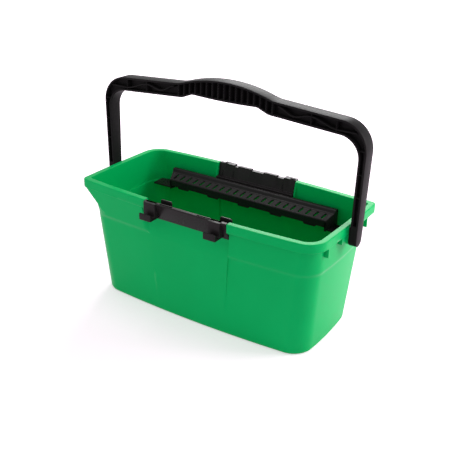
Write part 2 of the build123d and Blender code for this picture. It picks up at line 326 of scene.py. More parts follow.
class Nodes:
    """A node tree that is emptied and filled again."""

    def __init__(self, owner: bpy.types.Material | bpy.types.World) -> None:
        """Take over the tree of a material or a world.

        Args:
            owner: the material or the world.
        """
        owner.use_nodes = True
        self.tree = owner.node_tree
        self.tree.nodes.clear()

    def add(self, kind: str, settings: dict | None = None, inputs: dict | None = None) -> bpy.types.Node:
        """Add one node.

        Args:
            kind: the node's type.
            settings: its properties, set first; stops is a ramp's list of places and colours.
            inputs: a value, a socket or a Number for each named or numbered input.

        Returns:
            The node.
        """
        node = self.tree.nodes.new(kind)
        for name, value in (settings or {}).items():
            if name == "stops":
                for element, (place, colour) in zip(node.color_ramp.elements, value):
                    element.position = place
                    element.color = (*colour, 1.0)
            else:
                setattr(node, name, value)
        for name, value in (inputs or {}).items():
            if isinstance(value, Number):
                value = value.socket
            if isinstance(value, bpy.types.NodeSocket):
                self.tree.links.new(value, node.inputs[name])
            else:
                node.inputs[name].default_value = value
        return node

    def number(self, kind: str, settings: dict | None = None, inputs: dict | None = None,
               output: str | int = 0) -> Number:
        """Add one node and take one of its outputs as a number."""
        return Number(self, self.add(kind, settings, inputs).outputs[output])

    def smooth(self, value: Number, start: Span, end: Span) -> Number:
        """A number carried from one span to another along a smooth step.

        Args:
            value: the number.
            start: the span that it is read on.
            end: the span that it becomes.

        Returns:
            The new number.
        """
        return self.number("ShaderNodeMapRange", {"interpolation_type": "SMOOTHSTEP"},
                           {"Value": value, "From Min": start[0], "From Max": start[1],
                            "To Min": end[0], "To Max": end[1]})


@dataclass(frozen=True)
class MouldedPlastic:
    """Injection-moulded plastic: its colour drifts a little, and a fine grain breaks the gloss.

    Colours are linear, and scales are repeats per metre. Rubbed marks are a finer noise, stretched along Z, where it
    rises above a level; they lighten the tone and dull the gloss.
    """

    name: str
    colour: Colour
    drift: Colour
    flow_scale: float
    roughness: float
    roughness_drift: float
    grain_scale: float
    grain_height: float
    scuff: float
    specular: float
    tone_stops: Span = (0.30, 0.72)
    flow_share: float = 0.8
    rub_fineness: float = 14.0
    rub_stretch: Point = (1.0, 1.0, 0.22)
    rub_levels: Span = (0.58, 0.78)
    scuff_gloss: float = 0.4
    grain_gloss: float = 0.06
    grain_strength: float = 0.5

    def material(self) -> bpy.types.Material:
        """Make the material.

        Returns:
            A procedural material on Object coordinates.
        """
        made = bpy.data.materials.new(self.name)
        nodes = Nodes(made)
        place = nodes.add("ShaderNodeTexCoord").outputs["Object"]
        stretched = nodes.add("ShaderNodeMapping", {}, {"Vector": place, "Scale": self.rub_stretch}).outputs[0]
        flow, rubbed, grain = (
            nodes.number("ShaderNodeTexNoise", {},
                         {"Vector": vector, "Scale": scale, "Detail": detail, "Roughness": rough})
            for vector, scale, detail, rough in ((place, self.flow_scale, 3.0, 0.55),
                                                 (stretched, self.flow_scale * self.rub_fineness, 5.0, 0.7),
                                                 (place, self.grain_scale, 2.0, 0.6)))
        marks = nodes.smooth(rubbed, self.rub_levels, (0.0, 1.0)) * self.scuff
        tone = nodes.add("ShaderNodeValToRGB", {"stops": [*zip(self.tone_stops, (self.colour, self.drift))]},
                         {"Fac": flow * self.flow_share + marks})
        gloss = (self.roughness + (flow - NOISE_MIDDLE) * self.roughness_drift + marks * self.scuff_gloss
                 + (grain - NOISE_MIDDLE) * self.grain_gloss)
        relief = nodes.add("ShaderNodeBump", {}, {"Strength": self.grain_strength, "Distance": self.grain_height * MM,
                                                  "Height": grain})
        shader = nodes.add("ShaderNodeBsdfPrincipled", {},
                           {"Base Color": tone.outputs["Color"], "Roughness": gloss, "Normal": relief.outputs["Normal"],
                            "Specular IOR Level": self.specular})
        nodes.add("ShaderNodeOutputMaterial", {}, {"Surface": shader.outputs[0]})
        return made


GREEN = MouldedPlastic("green_moulding", colour=(0.0, 0.46, 0.118), drift=(0.001, 0.51, 0.134), flow_scale=7.0,
                       roughness=0.34, roughness_drift=0.08, grain_scale=900.0, grain_height=0.03, scuff=0.05,
                       specular=0.07)
BLACK = MouldedPlastic("black_moulding", colour=(0.012, 0.011, 0.012), drift=(0.020, 0.018, 0.019), flow_scale=9.0,
                       roughness=0.42, roughness_drift=0.12, grain_scale=1100.0, grain_height=0.06, scuff=0.25,
                       specular=0.035)
SATIN = MouldedPlastic("black_satin_moulding", colour=(0.016, 0.014, 0.015), drift=(0.024, 0.021, 0.022),
                       flow_scale=9.0, roughness=0.27, roughness_drift=0.06, grain_scale=1100.0, grain_height=0.02,
                       scuff=0.1, specular=0.09)


@dataclass(frozen=True)
class Piece:
    """What a mesh is called, rides on and is finished with; sharp is the angle past which an edge isn't smooth."""

    name: str
    body: Body
    slot: Slot
    sharp: float = 38.0

    def make(self, shape: Shape, finish: bpy.types.Material, replaces: str | None = None) -> None:
        """Turn a shape into a piece of the object.

        Args:
            shape: points in millimetres and faces.
            finish: its material.
            replaces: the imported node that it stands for.
        """
        mesh = bpy.data.meshes.new(self.name)
        mesh.from_pydata((shape.points * MM).tolist(), [], [face for block in shape.faces for face in block.tolist()])
        work = bmesh.new()
        work.from_mesh(mesh)
        bmesh.ops.remove_doubles(work, verts=work.verts, dist=MERGE * MM)
        bmesh.ops.recalc_face_normals(work, faces=work.faces)
        work.to_mesh(mesh)
        work.free()
        mesh.shade_smooth()
        mesh.set_sharp_from_angle(angle=math.radians(self.sharp))
        mesh.materials.append(finish)
        made = bpy.data.objects.new(self.name, mesh)
        bpy.context.scene.collection.objects.link(made)
        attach(made, self.body.value)
        if replaces:
            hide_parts(replaces)
        log.info("%s: %d faces", self.name, len(mesh.polygons))


@dataclass(frozen=True)
class Plan:
    """One level of the tub seen from above: half sizes, bows, spout reach and pinch, and the corners' radii."""

    length: float
    width: float
    bow: float
    end_bow: float
    reach: float
    pinch: float
    corner: float
    tip: float

    def row(self) -> np.ndarray:
        """The eight sizes as an array."""
        return np.array(astuple(self))

    def inset(self, amount: np.ndarray | float, tip_share: float = 1.0) -> np.ndarray:
        """The eight sizes of the plan drawn in on every side, one row for each amount."""
        return self.row() - np.multiply.outer(amount, [1.0, 1.0, 0.0, 0.0, 0.0, 0.0, 1.0, tip_share])


@dataclass(frozen=True)
class Stack:
    """The tub's rings: a level and a plan for each, and how many the outer wall, the hem and the whole rim take."""

    levels: np.ndarray
    plans: np.ndarray
    outer: int
    hem: int
    rim: int


@dataclass(frozen=True)
class Tub:
    """The tub: a stack of rings from the base up the outside, over the rim and down the inside to the floor."""

    height: float = 232.0
    rim: Plan = Plan(250.0, 113.75, 8.85, 2.0, 5.0, 6.6, 33.0, 9.5)
    rim_taper: float = 0.4
    shoulder: Plan = Plan(239.7, 104.4, 10.3, 6.0, 0.0, 0.0, 33.0, 42.0)
    step_tip: float = 33.0
    base: Plan = Plan(223.0, 94.7, 10.3, 6.0, 0.0, 0.0, 33.0, 33.0)
    base_round: float = 6.0
    base_level: float = 5.0
    ledge: float = 169.0
    ledge_round: Span = (0.7, 0.6)
    step: float = 3.5
    step_slope: float = 7.0
    soften: float = 2.2
    wall: float = 3.0
    floor: float = 3.5
    floor_round: float = 5.0
    flat_inset: float = 3.0
    overhang: float = 8.3
    flange: float = 3.0
    skirt: float = 2.5
    skirt_height: float = 16.5
    skirt_foot: Outline = ((0.8, 0.15), (0.5, 0.0), (0.2, 0.15))
    skirt_rings: Span = (6.0, 3.0)
    hem_gap: float = 1.2
    lip: float = 0.8
    rim_round: float = 1.6
    inner_round: float = 1.2
    rim_margin: float = 1.5
    panel_half: Span = (74.3, 88.0)
    panel_shifts: Span = (-5.0, 0.0)
    panel_levels: tuple[float, ...] = (45.0, 148.0, 162.0, 171.0, 181.0, 192.0)
    panel_faces: tuple[float, ...] = (105.5, 111.9, 112.3, 111.5, 109.7, 107.0)
    panel_drop: float = 29.3
    panel_edge: float = 0.6
    apron_blend: float = 7.0
    apron_rise: float = 8.0
    apron_inset: float = 0.6
    rim_end: float = 254.5
    block_top: float = 2.0
    boss_half: float = 29.0
    boss_drop: float = 12.5
    boss_proud: float = 1.0
    boss_sunk: float = 0.6
    boss_bevel: tuple[float, ...] = (0.0, 0.25, 0.8)
    boss_rounds: Span = (1.0, 0.5)
    pivot_half: float = 10.5
    pivot_top: float = 1.5
    pivot_rounds: tuple[float, ...] = (4.0, 4.0, 1.0, 1.0)
    pivot_level: float = 209.0
    bore: float = 8.0
    bore_depth: float = 8.8
    bore_bevel: float = 0.4
    bore_steps: int = 72
    gusset: float = 3.0
    gusset_drop: float = 18.5
    gusset_place: float = 72.0
    gusset_sunk: float = 0.5
    gusset_rounds: Span = (0.6, 0.4)
    side_steps: tuple[int, ...] = (26, 4, 36, 4, 26)
    corner_steps: int = 14
    end_steps: int = 34
    round_steps: int = 6
    ring_counts: tuple[int, ...] = (14, 13, 9, 16, 14)
    ring_breaks: tuple[float, ...] = (-13.0, -11.0, 7.0, 11.0)
    inside_ends: Span = (4.0, 1.4)
    below_starts: tuple[float, ...] = (0.6, 2.0, 6.0)

    def rim_at(self, amount: np.ndarray | float) -> np.ndarray:
        """The rim's plan drawn in by an amount."""
        return self.rim.inset(amount, self.rim_taper)

    def step_at(self, amount: float) -> np.ndarray:
        """The plan just under the step drawn in by an amount; its tips are tighter than the shoulder's."""
        return replace(self.shoulder, tip=self.step_tip).inset(self.step + amount)

    def columns(self, plans: np.ndarray, panel: np.ndarray, blend: np.ndarray, shift: float) -> np.ndarray:
        """Rings in plan: long sides and ends are parabolas through corner, middle and corner, corners are conics.

        Args:
            plans: array of rings and the eight sizes of a plan.
            panel: the panel's half width at each ring.
            blend: how far the apron runs out beside the panel at each ring.
            shift: how far the panel stands from the middle.

        Returns:
            Array of rings, points of half the way round, and 2; the other half is made like it and given half a turn.
        """
        a, b, bow, end_bow, s, p, corner, tip = (column[:, None] for column in plans.T)
        parts = len(self.side_steps)
        share = np.concatenate([np.arange(n) / n + i for i, n in enumerate(self.side_steps)] + [[parts]])
        part = np.minimum(share.astype(int), parts - 1)
        left, right, edge = shift - panel[:, None], shift + panel[:, None], self.panel_edge
        knots = np.concatenate([tip - a - s, left - edge - blend[:, None], left + edge, right - edge, right + edge,
                                a - corner], 1)
        x = knots[:, part] + (share - part) * (knots[:, part + 1] - knots[:, part])
        far, rear = a + s, b - p
        curve = (bow * far + (bow + p) * a) / (a * far * (a + far))
        slope = (bow - curve * a ** 2) / a
        front = np.stack([x, -b - bow + slope * x + curve * x ** 2], -1)
        end_y = (corner - b) + np.linspace(0, 1, self.end_steps) * ((rear - tip) - (corner - b))
        crown = s / 2 + end_bow
        bend = ((s - crown) / rear - crown / b) / (b + rear)
        lean = crown / b + bend * b
        end = np.stack([a + crown + lean * end_y + bend * end_y ** 2, end_y], -1)
        t = np.linspace(0, 1, self.corner_steps)[1:-1, None]
        square = math.sqrt(0.5)
        round_corner = conic(front[:, -1:], np.concatenate([a, -b], 1)[:, None], end[:, :1], square, t)
        spout = conic(end[:, -1:], np.concatenate([far, rear], 1)[:, None], -front[:, :1], square, t)
        return np.concatenate([front, round_corner, end, spout], 1)

    def shares(self) -> tuple[np.ndarray, np.ndarray]:
        """How far each point of half the way round belongs to the panel and to the apron beside it.

        Returns:
            Two arrays, each from 0 to 1 along the half loop.
        """
        left, rise, flat, _, right = self.side_steps
        ramp = np.linspace(0, 1, rise + 1)[:-1]
        rest = right + 2 * (self.corner_steps - 2) + self.end_steps + 1
        panel = np.concatenate([np.zeros(left), ramp, np.ones(flat), 1 - ramp, np.zeros(rest)])
        apron = np.concatenate([np.ones(left + rise), np.zeros(len(panel) - left - rise)])
        return panel, apron

    def outside(self, z: np.ndarray) -> np.ndarray:
        """Plans of the outer wall, straight between four levels, with the kinks softened by averaging.

        Args:
            z: levels.

        Returns:
            Array of levels and the eight sizes.
        """
        knots = (self.base_level, self.ledge - self.step_slope, self.ledge, self.height)
        plans = np.stack([self.base.row(), self.step_at(0.0), self.shoulder.row(), self.rim_at(self.overhang)])
        return at(z + self.soften * np.linspace(-1, 1, 5)[:, None], knots, plans).mean(0)

    def rolled(self) -> tuple[np.ndarray, np.ndarray]:
        """The rim's rings, from under the flange round the skirt, over the top and down to the inner wall.

        Returns:
            Insets from the rim's plan and levels of the hem, then those of the rest: arrays of rings and 2.
        """
        foot, under, brim = self.height - self.skirt_height, self.height - self.flange, self.overhang + self.wall
        hem = [(self.overhang - self.hem_gap, under), (self.skirt + self.lip, under), (self.skirt, under - self.lip),
               (self.skirt, foot + self.lip)] + [(share * self.skirt, foot + rise) for share, rise in self.skirt_foot]
        outer = [(0.0, foot + self.lip), (0.0, foot + self.skirt_rings[0]),
                 (0.0, self.height - self.rim_round - self.skirt_rings[1])]
        top = [(self.rim_round + self.rim_margin, self.height),
               (brim - self.inner_round - self.rim_margin, self.height)]
        drop, inset = quarter(self.rim_round, self.round_steps)
        crown = np.stack([inset, self.height - drop], 1)
        inset, drop = quarter(self.inner_round, self.round_steps)
        inner = np.stack([brim - inset, self.height - drop], 1)
        return np.array(hem), np.concatenate([outer, crown, top, inner])

    def stack(self) -> Stack:
        """Every ring of the tub in order: base, outer wall, hem, rim, inner wall, ledge, lower wall and floor.

        The inner wall is straight from the rim to the ledge, and from the ledge to the edge of the floor.

        Returns:
            The rings.
        """
        far_below, below, above, far_above = (self.ledge + i for i in self.ring_breaks)
        low, close, high, inside, lower = self.ring_counts
        inset, rise = quarter(self.base_round, self.round_steps)
        foot = np.stack([[self.flat_inset * self.base_round, *inset], [0.0, *rise]])
        wall_z = np.concatenate([np.linspace(self.base_round, far_below, low), np.linspace(below, above, close),
                                 np.linspace(far_above, self.height - self.flange - self.lip, high)])
        hem, rest = self.rolled()
        rolled = np.concatenate([hem, rest])
        inside_z = np.linspace(self.height - self.inside_ends[0], self.ledge + self.inside_ends[1], inside)
        inside_plans = np.stack([self.shoulder.inset(self.wall), self.rim_at(self.overhang + self.wall)])
        flat, up = self.ledge_round
        ledge = np.array([(self.wall + flat - up, self.ledge + up), (self.wall + flat, self.ledge),
                          (self.wall + self.step - flat, self.ledge)])
        floor_top = self.floor + self.floor_round
        *near, start = (self.ledge - i for i in self.below_starts)
        lower_z = np.concatenate([near, np.linspace(start, floor_top, lower)])
        lower_plans = np.stack([self.base.inset(self.wall), self.step_at(self.wall)])
        drop, inset = (side[1:] for side in quarter(self.floor_round, self.round_steps))
        floor = np.stack([[*inset, self.flat_inset * self.floor_round], [*drop, 0.0]])
        plans = np.concatenate([
            self.base.inset(foot[0]), self.outside(wall_z), self.rim_at(rolled[:, 0]),
            at(inside_z, (self.ledge, self.height), inside_plans), self.shoulder.inset(ledge[:, 0]),
            at(lower_z, (floor_top, self.ledge), lower_plans), self.base.inset(self.wall + floor[0])])
        levels = np.concatenate([foot[1], wall_z, rolled[:, 1], inside_z, ledge[:, 1], lower_z, self.floor + floor[1]])
        return Stack(levels, plans, foot.shape[1] + len(wall_z), len(hem), len(rolled))

    def shell(self) -> Shape:
        """The whole wall as one closed surface.

        Each ring is a plan at a level. Along the apron the rings of the upper wall lie on a straight flare from the
        shoulder to the rim. Along the panel every ring is held below the panel's top and on its face, which bridges
        the step. Below the step the wall shows where it stands further out, and under the panel's foot there is
        only the wall.

        Returns:
            The closed shape.
        """
        stack = self.stack()
        z, past = stack.levels, np.arange(len(stack.levels)) - stack.outer
        outside, within = past < 0, past >= stack.rim
        on_rim, on_hem = ~outside & ~within, (past >= 0) & (past < stack.hem)
        upper = z > self.ledge
        wall_top = np.where(outside, self.height - self.flange - self.lip, self.height - self.inside_ends[0])
        rise = np.clip((z - self.ledge) / (wall_top - self.ledge), 0, 1)

        skirt_foot, shoulder = self.height - self.skirt_height, self.shoulder.row()
        round_hem = np.clip(past / stack.hem, 0, 1)
        flare_z = np.where(outside & upper, self.ledge + rise * (skirt_foot - self.ledge), z)
        flare_z = np.where(on_hem, skirt_foot + round_hem * self.lip, flare_z)
        flare = shoulder + rise[:, None] * (self.rim_at(self.apron_inset) - shoulder)
        flare = np.where((outside & upper)[:, None], flare, stack.plans)
        flare = np.where(on_hem[:, None], self.rim_at(self.apron_inset * (1 - round_hem)), flare)

        panel_top = self.height - self.panel_drop
        over = np.clip(past / (stack.rim - 1), 0, 1)
        half = np.interp(np.where(on_rim, self.height, z), (0, self.panel_levels[-1]), self.panel_half)
        half = half + self.wall * within * np.where(z < self.ledge, -1.0, 1.0)
        panel_z = np.where(upper, self.ledge + rise * (panel_top - self.lip - self.ledge), z)
        panel_z = np.where(on_rim, panel_top - self.lip * np.abs(2 * over - 1) ** 3, panel_z)
        face = (self.wall * over - np.interp(panel_z, self.panel_levels, self.panel_faces))[:, None]
        below_step = (z < self.ledge - self.step_slope - self.soften)[:, None]
        below_panel = (z < self.panel_levels[0])[:, None]

        blend = self.apron_blend * outside * np.clip((z - self.ledge) / self.apron_rise + 1, 0, 1)
        panel_share, apron_share = (share[:, None] for share in self.shares())
        loops = []
        for shift, turned in zip(self.panel_shifts, (1.0, -1.0)):
            plain = placed(self.columns(stack.plans, half, blend, shift), Axis.Z, z)
            flared = placed(self.columns(flare, half, blend, shift), Axis.Z, flare_z)
            whole = plain + apron_share * (flared - plain)
            x, y = whole[..., 0], whole[..., 1]
            on_face = np.where(below_step, np.minimum(y, face), face)
            held = placed(np.stack([x, np.where(below_panel, y, on_face)], -1), Axis.Z, panel_z)
            loops.append((whole + panel_share * (held - whole)) * np.array([turned, turned, 1.0]))
        return grid(np.concatenate(loops, 1))

    def bosses(self) -> Shape:
        """The blocks under the rim at the pivots: a wide one drawn out along X, and a proud one with the bore.

        The bored block is a stack of rings: its rounded section, walked in even steps, from the wall to the face, then
        the bore's circle at the same angles round the pivot, from the face back to the bore's end.

        Returns:
            The shape.
        """
        foot = self.height - self.skirt_height
        inner, face = self.rim_end - self.overhang - self.wall + self.boss_sunk, self.rim_end + self.boss_proud
        wide = box((-self.boss_half, self.boss_half), (foot - self.boss_drop, self.height - self.block_top))
        corner, edge = self.boss_rounds
        flank = drawn_out(rounded(wide, corner), Axis.X, inner, self.rim_end - self.skirt / 2, edge)
        proud = box((-self.pivot_half, self.pivot_half), (foot - self.gusset_drop, self.height - self.pivot_top))
        section = rounded(proud, self.pivot_rounds)
        loop = np.concatenate([section, section[:1]])
        section = at(np.linspace(0, way(loop)[-1], self.bore_steps, endpoint=False), way(loop), loop)
        pivot, bevel = np.array([0.0, self.pivot_level]), np.array(self.boss_bevel)
        away = (section - pivot) / np.linalg.norm(section - pivot, axis=1, keepdims=True)
        radii = np.array([self.bore + self.bore_bevel, self.bore, self.bore])
        rings = np.concatenate([drawn_in(section, np.append(0.0, bevel)), pivot + away * radii[:, None, None]])
        places = np.array([inner, *(face - bevel[::-1]), face, face - self.bore_bevel, face - self.bore_depth])
        both = together(flank, grid(placed(rings, Axis.X, places)))
        return together(both, both.half_turn())

    def gussets(self) -> Shape:
        """Thin upright plates under the rim on both sides of the bosses: sections drawn out along Y.

        Returns:
            The shape.
        """
        height = (self.height - self.skirt_height - self.gusset_drop, self.height - self.block_top)
        (corner, edge), half = self.gusset_rounds, self.gusset / 2
        plates = []
        for place in (-self.gusset_place, self.gusset_place):
            reach = self.rim_end - self.rim.end_bow / 2 + place * self.rim.reach / (2 * self.rim.width)
            depth = (reach - self.overhang - self.wall + self.gusset_sunk, reach - self.skirt / 2)
            section = rounded(box(depth, height), corner)
            plates.append(drawn_out(section, Axis.Y, place - half, place + half, edge))
        one_end = together(*plates)
        return together(one_end, one_end.half_turn())

    def build(self, finish: bpy.types.Material) -> None:
        """Make the tub's pieces.

        Args:
            finish: their material.
        """
        Piece("tub_shell", Body.TUB, Slot.GREEN).make(self.shell(), finish, "tub")
        Piece("tub_bosses", Body.TUB, Slot.GREEN).make(self.bosses(), finish)
        Piece("tub_gussets", Body.TUB, Slot.GREEN).make(self.gussets(), finish)


@dataclass(frozen=True)
class Handle:
    """The swing handle: an I-section carried up a leg, round a bend, along the bar and the grip and down again."""

    pivot: float = 209.0
    foot: float = 193.5
    outer_x: float = 273.8
    inner_x: float = 260.4
    splay: float = 3.3
    hub_x: float = 255.9
    hub_slope: float = 228.5
    hub_top: float = 233.0
    leg_levels: tuple[float, ...] = (215.0, 228.5, 230.4, 233.0, 233.5, 235.0)
    leg_start: float = 240.0
    half_depth: float = 14.2
    foot_depth: float = 11.1
    taper_top: float = 359.0
    foot_round: float = 10.7
    lean: float = 1.8
    flange: float = 3.5
    flange_rounds: Span = (0.6, 0.9)
    web_half: float = 2.5
    edge: float = 0.8
    edge_share: float = 0.9
    shoulder: float = 406.6
    slope: float = 0.0662
    bar_height: float = 25.5
    grip_half: float = 97.0
    grip_top: float = 435.0
    root_half: float = 90.0
    flat_half: float = 67.5
    belly: float = 400.5
    belly_rise: float = 1.8
    outer_bend: float = 50.0
    inner_bend: float = 37.0
    top_blend: float = 8.3
    under_blend: float = 3.1
    rib: float = 3.0
    rib_pitch: float = 12.2
    rib_count: int = 17
    brace: float = 2.2
    plate_gap: float = 0.3
    plate_round: float = 0.3
    tuck: float = 0.6
    wave: Outline = ((108.0, 6.0), (138.0, -4.0), (171.0, 4.0), (217.0, -6.0), (254.0, -4.0))
    wave_gap: float = 0.4
    wave_edge: float = 0.7
    wave_steps: int = 96
    bar_ribs: Span = (171.0, 217.0)
    leg_ribs: tuple[float, ...] = (284.0, 324.0, 364.0)
    stub: float = 7.92
    stub_length: float = 8.8
    stub_steps: int = 48
    foot_steps: int = 9
    leg_steps: int = 12
    bend_steps: int = 22
    bar_steps: int = 76
    blend_steps: int = 9
    edge_steps: int = 4

    def bar(self, x: np.ndarray | float) -> np.ndarray | float:
        """Height of the straight bar's upper edge at a distance from the middle."""
        return self.shoulder + self.slope * (self.outer_x - x)

    def near(self, x: np.ndarray, blend: float) -> np.ndarray:
        """Distances from the middle round each place along X, over which an edge is averaged."""
        return np.abs(x[:, None] + np.linspace(-1, 1, self.blend_steps) * blend)

    def top(self, x: np.ndarray) -> np.ndarray:
        """Upper edge: the straight bar and an arc over the grip, blended by averaging along X.

        Args:
            x: places along the handle.

        Returns:
            Heights.
        """
        rise = self.grip_top - self.bar(self.grip_half)
        radius = (self.grip_half ** 2 + rise ** 2) / (2 * rise)
        near = self.near(x, self.top_blend)
        arc = self.grip_top - radius + np.sqrt(radius ** 2 - np.minimum(near, self.grip_half) ** 2)
        return np.where(near < self.grip_half, arc, self.bar(near)).mean(1)

    def under(self, x: np.ndarray) -> np.ndarray:
        """Lower edge: the straight bar, a short ramp and the grip's shallow arc, blended by averaging along X.

        Args:
            x: places along the handle.

        Returns:
            Heights.
        """
        radius = (self.flat_half ** 2 + self.belly_rise ** 2) / (2 * self.belly_rise)
        near = self.near(x, self.under_blend)
        arc = self.belly + radius - np.sqrt(radius ** 2 - np.minimum(near, self.flat_half) ** 2)
        ramp = np.interp(near, (self.flat_half, self.root_half),
                         (self.belly + self.belly_rise, self.bar(self.root_half) - self.bar_height))
        bar = self.bar(near) - self.bar_height
        return np.where(near < self.flat_half, arc, np.where(near < self.root_half, ramp, bar)).mean(1)

    def line(self, x: float, drop: float, bend: float) -> np.ndarray:
        """One edge of the right half: straight up the leg, an arc round the bend, and straight along the bar.

        Args:
            x: the leg's distance from the middle where it meets the bar.
            drop: how far the edge lies under the bar's upper edge.
            bend: the arc's radius.

        Returns:
            Array of points and 2.
        """
        far = self.grip_half
        corners = (x - self.splay, self.foot), (x, self.bar(x) - drop), (far, self.bar(far) - drop)
        return rounded(corners, (0.0, bend, 0.0), self.bend_steps, closed=False)

    def edges(self) -> tuple[np.ndarray, np.ndarray]:
        """Outer and inner edge of the right half, matched point by point, from the foot to the middle of the grip.

        Round the bend the outer edge is walked in equal steps while the inner one goes round its arc.

        Returns:
            Two arrays of points and 2.
        """
        outer_line = self.line(self.outer_x, 0.0, self.outer_bend)
        inner_line = self.line(self.inner_x, self.bar_height, self.inner_bend)
        bend = inner_line[1:-1]
        past = bend[-1, 0]
        leg = np.concatenate([self.foot + quarter(self.foot_round, self.foot_steps)[1], self.leg_levels,
                              np.linspace(self.leg_start, bend[0, 1], self.leg_steps)])
        leg_out, leg_in = (np.interp(leg, line[:2, 1], line[:2, 0]) for line in (outer_line, inner_line))
        leg_in = np.minimum(leg_in, self.hub_x + np.maximum(leg - self.hub_slope, 0))
        path = np.concatenate([[(leg_out[-1], leg[-1])], outer_line[1:-1], [(past, self.bar(past))]])
        outer_bend = at(np.linspace(0, way(path)[-1], len(bend))[1:], way(path), path)
        x = np.linspace(past, 0.0, self.bar_steps)[1:]
        outer = np.concatenate([np.stack([leg_out, leg], 1), outer_bend, np.stack([x, self.top(x)], 1)])
        inner = np.concatenate([np.stack([leg_in, leg], 1), bend[1:], np.stack([x, self.under(x)], 1)])
        return outer, inner

    def depth_at(self, z: np.ndarray | float) -> np.ndarray:
        """Half depth of the handle at a height: the legs get thinner towards their feet."""
        return np.interp(z, (self.foot, self.taper_top), (self.foot_depth, self.half_depth))

    def frame(self) -> Shape:
        """The I-section along both halves, solid at the hubs and rounded at the feet, with the two stubs.

        Every corner of the section is placed from the thickness, the half depth and the web at that row, and its
        rounding is the same small arc everywhere, drawn smaller where the section runs out.

        Returns:
            The shape.
        """
        outer, inner = self.edges()
        level = outer[:, 1]
        thick = np.linalg.norm(inner - outer, axis=1)
        below = np.clip(self.foot_round - (level - self.foot), 0, self.foot_round)
        depth = self.depth_at((level + inner[:, 1]) / 2) - self.foot_round + np.sqrt(self.foot_round ** 2 - below ** 2)
        solid = level <= self.hub_top
        web = np.where(solid, depth, self.web_half)
        zero, f = np.zeros_like(thick), np.full_like(thick, self.flange)
        far = thick - f
        across = np.stack([zero, zero, f, f, far, far, thick, thick, far, far, f, f], 1)
        sides = np.stack([-depth, depth, depth, web, web, depth, depth, -depth, -depth, -web, -web, -depth], 1)
        corners = np.stack([across, sides], 2)
        tip, root = self.flange_rounds
        radii = np.array([self.edge, self.edge, tip, root, root, tip] * 2)
        turns = rounded(corners[-1], radii, self.edge_steps).reshape(len(radii), -1, 2) - corners[-1][:, None]
        room = np.minimum(1.0, self.edge_share * depth / self.edge)[:, None]
        scale = np.where(radii == self.edge, room, np.where(solid, 0.0, 1.0)[:, None])
        ring = (corners[:, :, None] + scale[:, :, None, None] * turns).reshape(len(thick), -1, 2)
        inwards = (inner - outer) / thick[:, None]
        flat = outer[:, None] + inwards[:, None] * ring[..., :1]
        right = np.stack([flat[..., 0], ring[..., 1], flat[..., 1]], 2)
        left = right[::-1][1:] * np.array([-1.0, 1.0, 1.0])
        turn = np.linspace(0, 2 * math.pi, self.stub_steps, endpoint=False)
        circle = np.stack([self.stub * np.cos(turn), self.pivot + self.stub * np.sin(turn)], 1)
        stub = drawn_out(circle, Axis.X, self.hub_x - self.stub_length, self.inner_x, self.edge)
        return together(grid(np.concatenate([right, left])), stub, stub.half_turn())

    def plate(self, x: Span, z: Span) -> Shape:
        """Upright plate through the web, a rectangle drawn out along Y to just short of the flanges' edges.

        Args:
            x: where it starts and ends along X.
            z: its lower and upper end.

        Returns:
            The shape.
        """
        depth = float(self.depth_at(sum(z) / 2)) - self.plate_gap
        return drawn_out(rounded(box(x, z), self.plate_round), Axis.Y, -depth, depth, self.edge)

    def ribs(self) -> Shape:
        """Plates across the grip at one pitch.

        Returns:
            The shape.
        """
        x, half, inset = spread(self.rib_count, self.rib_pitch), self.rib / 2, self.flange - self.tuck
        ends = zip(x.tolist(), (self.under(x) + inset).tolist(), (self.top(x) - inset).tolist())
        return together(*(self.plate((place - half, place + half), (low, high)) for place, low, high in ends))

    def braces(self) -> Shape:
        """Cross plates in the bar and the legs, and a band that swings from one flange to the other along the bar.

        The band's middle goes from each of its points to the next along t * t * (3 - 2 * t).

        Returns:
            The shape.
        """
        half, inset = self.brace / 2, self.flange - self.tuck
        right = [self.plate((x - half, x + half), (self.bar(x) - self.bar_height + inset, self.bar(x) - inset))
                 for x in self.bar_ribs]
        leg = (self.inner_x + self.flange / 2 - self.tuck, self.outer_x - self.flange / 2 - 2 * self.tuck)
        right += [self.plate(leg, (z - half, z + half)) for z in self.leg_ribs]
        places, lifts = np.array(self.wave).T
        x = np.linspace(places[0], places[-1], self.wave_steps)
        share = np.interp(x, places, np.arange(len(places)))
        part = np.minimum(share.astype(int), len(places) - 2)
        t = share - part
        lift = lifts[part] + (lifts[part + 1] - lifts[part]) * t * t * (3 - 2 * t)
        middle = np.stack([x, self.bar(x) - self.bar_height / 2 + lift], 1)
        side = half * left_of(np.gradient(middle, axis=0))
        depth = self.half_depth - self.wave_gap
        band = np.concatenate([middle + side, (middle - side)[::-1]])
        right.append(drawn_out(band, Axis.Y, -depth, depth, self.wave_edge))
        one_side = together(*right)
        return together(one_side, one_side.mirrored())

    def build(self, finish: bpy.types.Material) -> None:
        """Make the handle's pieces.

        Args:
            finish: their material.
        """
        for name, shape, stands_for in (("handle_frame", self.frame(), "handle"),
                                        ("handle_grip_ribs", self.ribs(), None),
                                        ("handle_braces", self.braces(), None)):
            Piece(name, Body.HANDLE, Slot.BLACK).make(shape.leaned(self.lean, self.pivot), finish, stands_for)


